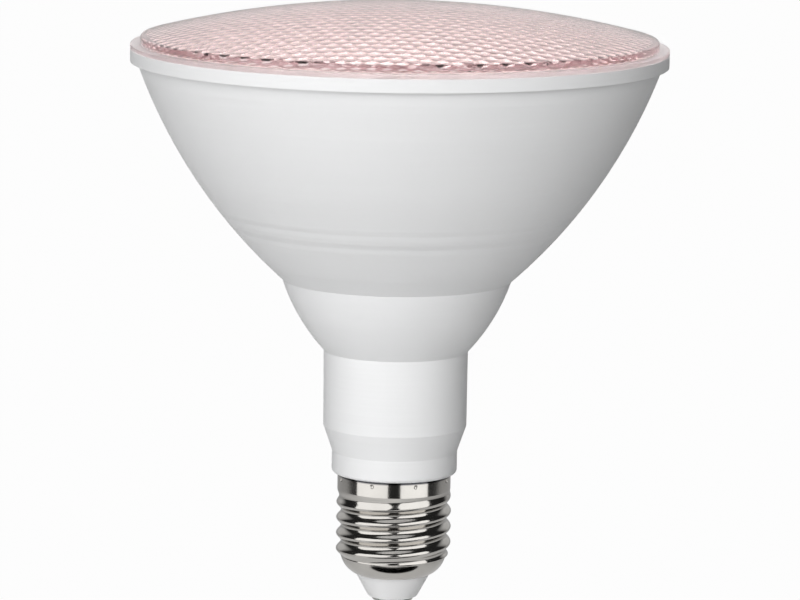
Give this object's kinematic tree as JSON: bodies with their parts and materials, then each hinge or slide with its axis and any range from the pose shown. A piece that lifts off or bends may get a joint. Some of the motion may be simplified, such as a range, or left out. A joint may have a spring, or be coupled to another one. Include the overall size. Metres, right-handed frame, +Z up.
{
  "type": "grow light bulb",
  "caption": "Reflector-shaped LED plant lamp: white stepped housing, pink prismatic cover on top, large Edison screw cap below, with its LED board and driver inside.",
  "frame": {"origin": "tip of the centre contact, on the lamp's axis", "axes": "+Z up the lamp's axis, from the cap to the cover; the driver board stands in the XZ plane"},
  "size_m": [0.1212, 0.1212, 0.1371],
  "materials": {
    "cover_pink": "clear moulded plastic with a honeycomb of lens cells inside",
    "housing_white": "satin white moulded plastic",
    "cap_nickel": "bright nickel plate on rolled brass",
    "insulator_white": "smooth white",
    "contact_metal": "bright nickel plate",
    "cup_aluminium": "pressed sheet",
    "board_white": "white solder mask on an aluminium core",
    "led_body": "white moulded package",
    "led_fill": "pinkish phosphor fill",
    "terminal_white": "moulded plastic",
    "screw_steel": "zinc plate",
    "board_green": "green solder mask on glass fibre",
    "can_sleeve": "dark shrink sleeve",
    "film_yellow": "moulded box",
    "ferrite": "pressed ferrite",
    "bobbin_black": "moulded plastic",
    "winding_tape": "taped copper winding",
    "package_black": "moulded package",
    "fuse_body": "lacquered body",
    "lead_black": "insulated wire",
    "lead_red": "insulated wire",
    "lead_white": "insulated wire"
  },
  "bodies": {
    "root": {"lens": "cover_pink", "housing": "housing_white", "heat_sink": "cup_aluminium", "led_board": "board_white", "led_packages": "led_body", "led_phosphor": "led_fill", "wire_terminal": "terminal_white", "board_screws": "screw_steel", "driver_board": "board_green", "bulk_capacitor": "can_sleeve", "output_capacitor": "can_sleeve", "filter_capacitor": "film_yellow", "transformer_core": "ferrite", "transformer_bobbin": "bobbin_black", "transformer_winding": "winding_tape", "input_choke": "bobbin_black", "bridge_rectifier": "package_black", "driver_chip": "package_black", "fuse_resistor": "fuse_body", "screw_shell": "cap_nickel", "cap_insulator": "insulator_white", "centre_contact": "contact_metal", "shell_lead": "lead_white", "contact_lead": "lead_black", "led_lead_positive": "lead_red", "led_lead_negative": "lead_black"}
  },
  "joints": []
}
